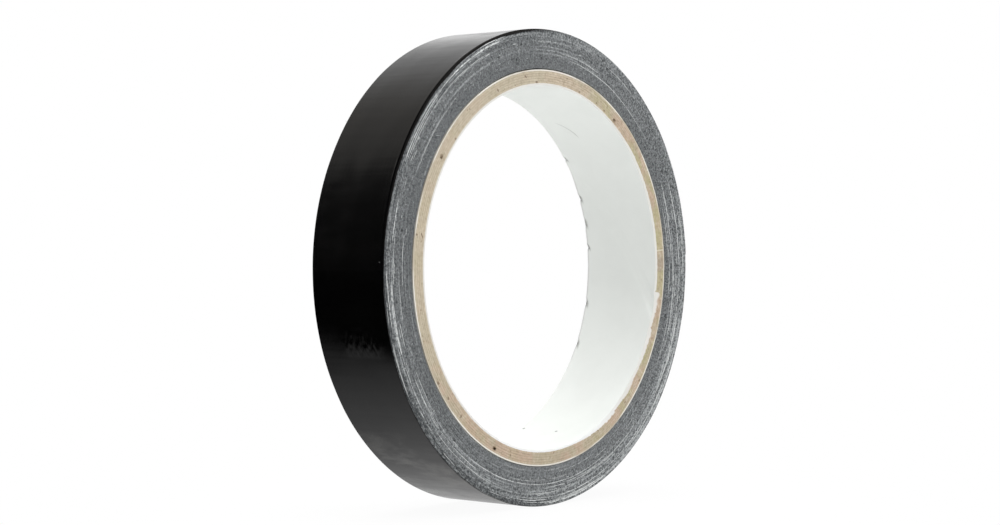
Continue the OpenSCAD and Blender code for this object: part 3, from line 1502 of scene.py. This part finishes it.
@dataclass
class Core:
    """The paper core: a liner of its own over the CAD plies, which get their finishes.

    Attributes:
        roll: Sizes of the roll.
        liner_t: Thickness of the inner liner.
        strip_w: Width of the paper strips that the core is wound from.
        seam: Angle of the liner's seam at the front face, in degrees.
        open_seam: Angle of the board's open seam at the front face, in degrees.
        open_w: Width of the open seam.
        sag: How deep the liner sags into it.
        seam_gap: Gap that the liner's seam leaves.
        fray: How uneven the liner's rims are.
        tears: Angles of the tears in its rear rim, in degrees.
        tear_depth: Depth of the deepest one.
        breaks: Where the knife's paper burr broke off, in degrees below the open seam.
        overhang: How far that burr reaches over the open seam, in degrees.
        burr_sweep: How far round the core it runs, in degrees.
        burr_root: How far it reaches back over the liner's edge.
        shaggy: Angle of the middle of the stretch where it is shaggy, in degrees.
        matted: Angle of the outermost board ply's seam, which fibres cover, in degrees.
    """

    roll: Roll
    liner_t: float = 0.38 * MM
    strip_w: float = 127 * MM
    seam: float = 112.0
    open_seam: float = -14.0
    open_w: float = 3 * MM
    sag: float = 0.4 * MM
    seam_gap: float = 0.25 * MM
    fray: float = 0.035 * MM
    tears: Sequence[float] = (39.3, 23.7, 14.8, 6.5, -12.6, -27.3)
    tear_depth: float = 0.55 * MM
    breaks: Sequence[float] = (0, 12, 32, 45, 70)
    overhang: float = 1.2
    burr_sweep: float = 359.6
    burr_root: float = 0.12 * MM
    shaggy: float = 16.0
    matted: float = -64.0

    def build(self) -> None:
        """Builds the liner and dresses the plies."""
        paper = LinerFinish(self.roll).build()
        liner = finish_piece(self._liner(), "inner_liner", paper)
        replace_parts(liner, "core_inner_liner")
        burr = LinerFinish(self.roll, torn=(0.6, 0.5, 0.42)).build()
        finish_piece(self._burr(), "liner_burr", burr)
        kraft, outer = KraftFinish(self.roll).build(), OUTER_PAPER.build()
        finish_piece(self._tuft(), "board_tuft", kraft)
        for name, node in frame["nodes"].items():
            if name.startswith("core_") and name != "core_inner_liner":
                for slot in node.material_slots:
                    slot.material = outer if name == "core_outer_liner" else kraft
                LOG.info("%s: dressed", name)

    @property
    def _slant(self) -> float:
        """Angle between a seam and the roll's axis, in radians."""
        return math.acos(self.strip_w / (math.pi * (self.roll.bore_r + self.roll.core_r)))

    def _lean(self, across: np.ndarray, radius: float) -> np.ndarray:
        """How far a seam has turned round the core at a place across it, in radians."""
        return (across + 1) * self.roll.half_width * math.tan(self._slant) / radius

    def _liner(self) -> Piece:
        """Builds the liner from a sheet of paper laid in the bore.

        Returns:
            The piece.
        """
        roll = self.roll
        sheet = Sheet(900, 26, math.radians(50))
        across = np.sin(sheet.across * math.pi / 2) * 0.35 + sheet.across * 0.65
        gap = self.seam_gap / math.cos(self._slant) / roll.bore_r
        start = math.radians(self.seam) + self._lean(across, roll.bore_r) + gap / 2
        angle = start + (1 - sheet.along) * (TURN - gap)
        turned = np.angle(np.exp(1j * angle))
        front, rear = across < -0.999, across > 0.999
        away = angle - math.radians(self.open_seam) - self._lean(across, roll.board_r)
        away = np.abs((away + math.pi) % TURN - math.pi) * roll.board_r
        dip = ease(away, self._open_half + 0.4 * MM, self._open_half - 2.0 * MM)
        radius = roll.bore_r + sheet.layer * self.liner_t
        radius = radius + self.sag * dip * (0.2 + 0.7 * ease(across, -0.6, -1.0))
        torn = self._torn(np.degrees(turned))
        wear = ease(torn, 0.05, 0.6) * ease(across, 0.88, 0.965)
        radius = radius - wear * (1 - sheet.layer) * 0.05 * MM
        y = across * roll.half_width - rear * torn * self.tear_depth
        y = y + (front | rear) * ripple(angle * 30, 6.0) * self.fray - front * sheet.layer * 0.015 * MM
        piece = sheet.lay(around(radius, angle, y), turned * roll.bore_r, y)
        sheet.wear(np.clip(wear, 0, 1))
        return piece

    def _torn(self, degrees: np.ndarray) -> np.ndarray:
        """Depth of the tears in the rear rim.

        Args:
            degrees: Angles around the rim.

        Returns:
            The depth at each, as a share of the deepest.
        """
        torn = np.zeros(len(degrees))
        for number, place in enumerate(self.tears):
            wide = 1.1 + 0.9 * (number % 3)
            torn = np.maximum(torn, ease(np.abs(degrees - place), wide, 0.0) * (1 - 0.2 * (number % 3)))
        return torn * (0.65 + 0.5 * np.abs(ripple(degrees * 2.2, 12.0)))

    def _burr(self) -> Piece:
        """Builds the paper that the slitting knife dragged off the liner, over the board's face.

        It grows along the front face and breaks off at the edge of the open seam.

        Returns:
            The piece.
        """
        roll = self.roll
        sheet = Sheet(720, 5, math.radians(60))
        stop = self.open_seam + math.degrees(self._open_half / roll.board_r) + self.overhang
        degrees = stop - (1 - sheet.along) * self.burr_sweep
        tooth = np.zeros(len(degrees))
        for upper, lower in zip(self.breaks, self.breaks[1:]):
            inside = (degrees > stop - lower) & (degrees <= stop - upper)
            tooth += ease(degrees, stop - lower, stop - upper) * inside
        grown = ease(degrees, stop - 75, stop - 45) * 0.35 + tooth * 0.45
        grown += ease(degrees, stop - 14, stop - 2) * 0.35
        torn = 1 + 0.15 * ripple(degrees * 0.4, 15.0) + 0.35 * ripple(degrees * 1.6, 16.0)
        fuzz = 0.02 + 0.06 * np.abs(ripple(degrees * 1.1, 17.0))
        right = ease(np.abs((degrees - self.shaggy + 180) % 360 - 180), 40, 20) * 0.3
        reach = (fuzz + grown * torn + right * (1 + 0.3 * ripple(degrees * 0.9, 19.0))) * MM
        share = (sheet.across + 1) / 2
        radius = roll.board_r - self.burr_root + share * (reach + self.burr_root)
        stand = (0.006 + 0.03 * share * (1 - share) + 0.004 * ripple(degrees * 3.1, 18.0)) * MM
        y = -roll.half_width - stand - (1 - sheet.layer) * 0.012 * MM * (1.1 - share)
        angle = np.radians(degrees)
        piece = sheet.lay(around(radius, angle, y), angle * radius, radius)
        sheet.wear(ease(share, 0.7, 1.0) * np.clip(grown, 0, 1))
        return piece

    def _tuft(self) -> Piece:
        """Builds the matted fibres that the knife dragged over the outermost ply's seam.

        Returns:
            The piece.
        """
        roll = self.roll
        sheet = Sheet(26, 8, math.radians(60))
        place, wide = sheet.along * 2 - 1, sheet.across
        angle = math.radians(self.matted) + (place * 0.95 + ripple(wide * 2, 21.0) * 0.16) * MM / roll.liner_r
        radius = roll.liner_r - roll.ply_pitch / 2 + wide * (0.27 + 0.05 * ripple(place * 5, 22.0)) * MM
        rise = 0.008 + 0.02 * np.clip(1 - place**2, 0, 1) + 0.006 * ripple(place * 9 + wide * 3, 23.0)
        y = -roll.half_width - rise * MM - (1 - sheet.layer) * 0.01 * MM
        return sheet.lay(around(radius, angle, y), angle * radius, radius)

    @property
    def _open_half(self) -> float:
        """Half the open seam's width along the rim."""
        return self.open_w / 2 / math.cos(self._slant)


# ---------------------------------------------------------------- studio


@dataclass
class Studio:
    """Floor, world, lamps and camera.

    Attributes:
        roll: Sizes of the roll.
        azimuth: Direction that the camera looks in, from +Y towards +X, in radians.
        drop: How far down it looks, in radians.
        lens: Focal length in millimetres.
        sensor: Width of the sensor in millimetres.
        stand: How far left, above and in front of the front face's centre it stands, in outer radii.
        glare: Brightness of the brightest reflected light.
    """

    roll: Roll
    azimuth: float = math.radians(49.594)
    drop: float = math.radians(0.425)
    lens: float = 77.62
    sensor: float = 36.0
    stand: tuple[float, float, float] = (0.1985, 0.0225, 9.056)
    glare: float = 1.4

    def build(self) -> None:
        """Builds the studio."""
        self._camera()
        self._floor()
        self._world()
        self._lamp("overhead", (0.1, 0.1, 0.7), 0.8, 4.2)
        self._lamp("front", (-0.05, -0.62, 0.75), 0.5, 2.1)
        bpy.context.scene.view_settings.view_transform = "Standard"

    def _camera(self) -> None:
        """Places the camera and aims it."""
        ahead = Vector((
            math.cos(self.drop) * math.sin(self.azimuth),
            math.cos(self.drop) * math.cos(self.azimuth),
            -math.sin(self.drop),
        ))
        right = Vector((math.cos(self.azimuth), -math.sin(self.azimuth), 0.0))
        down = ahead.cross(right)
        mean_r = self.roll.outer_r - Tape().pitch / 2
        centre = Vector((0, -self.roll.half_width, 0))
        data = bpy.data.cameras.new("camera")
        data.lens, data.sensor_width = self.lens, self.sensor
        data.clip_start, data.clip_end = 0.01, 20.0
        camera = add_object("camera", data)
        left, above, before = self.stand
        camera.location = centre - mean_r * (left * right + above * down + before * ahead)
        camera.rotation_euler = ahead.to_track_quat("-Z", "Y").to_euler()
        bpy.context.scene.camera = camera

    def _floor(self) -> None:
        """A plain white floor under the rim; it keeps the roll's shadow near the roll."""
        deselect_all()
        bpy.ops.mesh.primitive_plane_add(size=8.0, location=(0, 0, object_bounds()[0].z))
        floor = bpy.context.object
        floor.name = "floor"
        graph = Graph("floor")
        seen, glossy = self._rays(graph)
        x, y, _ = graph.axes("Object")
        away = graph.math("SQRT", x * x + y * y)
        near_roll, far = ((0.05, 0.72), (0.12, 0.7), (0.24, 0.5)), ((0.37, 0.35), (0.5, 0.08), (0.6, 0.0))
        shine = (away * 5.0).ramp(*near_roll, *far)
        paint = graph.value("BsdfDiffuse", None, {"Color": (*grey(0.78), 1)})
        white, mirror = (graph.value("Emission", None, {0: light}) for light in ((*grey(1.0), 1), shine))
        clear = seen * (away.step(0.02, 0.09) * 0.05 + 0.95)
        shown = graph.value("MixShader", None, {0: clear, 1: paint, 2: white})
        last = graph.value("MixShader", None, {0: glossy, 1: shown, 2: mirror})
        graph.node("OutputMaterial", None, {"Surface": last})
        floor.data.materials.append(graph.material)
        floor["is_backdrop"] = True

    def _world(self) -> None:
        """White to the camera, soft light all round, and a dark side for reflections."""
        world = bpy.data.worlds.new("studio")
        world.use_nodes = True
        bpy.context.scene.world = world
        graph = Graph("studio", world.node_tree)
        seen, glossy = self._rays(graph)
        x, y, z = graph.axes("Generated")
        behind = x * math.sin(self.azimuth) + y * math.cos(self.azimuth)
        dark_side = ((0.45, 0.01), (0.54, 0.04))
        warm_card = ((0.56, (0.3, 0.29, 0.275)), (0.7, (0.36, 0.345, 0.325)))
        pale_card = ((0.86, 0.62), (0.93, 0.69))
        bright_strip = ((0.945, 0.87), (0.98, 0.85), (0.995, 0.7))
        shine = (behind * 0.5 + 0.5).ramp(*dark_side, *warm_card, *pale_card, *bright_strip)
        fill = z.absolute().step(0.1, 0.95) * 0.66 + 0.44
        level = graph.coats(fill, (glossy, shine), (seen, grey(1.0)))
        strength = (1 - seen) * glossy * (self.glare - 1) + 1
        light = graph.value("Background", None, {"Color": level, "Strength": strength})
        graph.node("OutputWorld", None, {"Surface": light})

    @staticmethod
    def _rays(graph: Graph) -> list[Socket]:
        """1 for what the camera sees itself, and 1 for what it sees in glossy surfaces."""
        outputs = graph.node("LightPath").outputs
        return [Socket(graph, outputs[f"Is {kind} Ray"]) for kind in ("Camera", "Glossy")]

    @staticmethod
    def _lamp(name: str, place: tuple[float, float, float], size: float, power: float) -> None:
        """Adds a square lamp aimed at the roll.

        Args:
            name: Its name.
            place: Where it hangs.
            size: Length of its side.
            power: Its power, in watts.
        """
        data = bpy.data.lights.new(name, "AREA")
        data.size, data.energy = size, power
        lamp = add_object(name, data)
        lamp.location = place
        lamp.visible_glossy = False
        lamp.rotation_euler = (-Vector(place)).to_track_quat("-Z", "Y").to_euler()


# ---------------------------------------------------------------- assembly


def main() -> None:
    """Builds the pieces in order, then the studio."""
    roll = Roll.from_frame()
    LOG.info("%s", roll)
    spiral = Spiral(roll, Tape())
    WoundTape(spiral, SlitFace(spiral)).build()
    cotton = COTTON.build()
    for side in Side:
        EdgeYarns(spiral, side).build(cotton)
        Lint(spiral, side).build(cotton)
    ThreadEnds(spiral).build(cotton)
    Core(roll).build()
    Studio(roll).build()


if __name__ == "__main__":
    logging.basicConfig(level=logging.INFO, format="%(message)s")
    main()
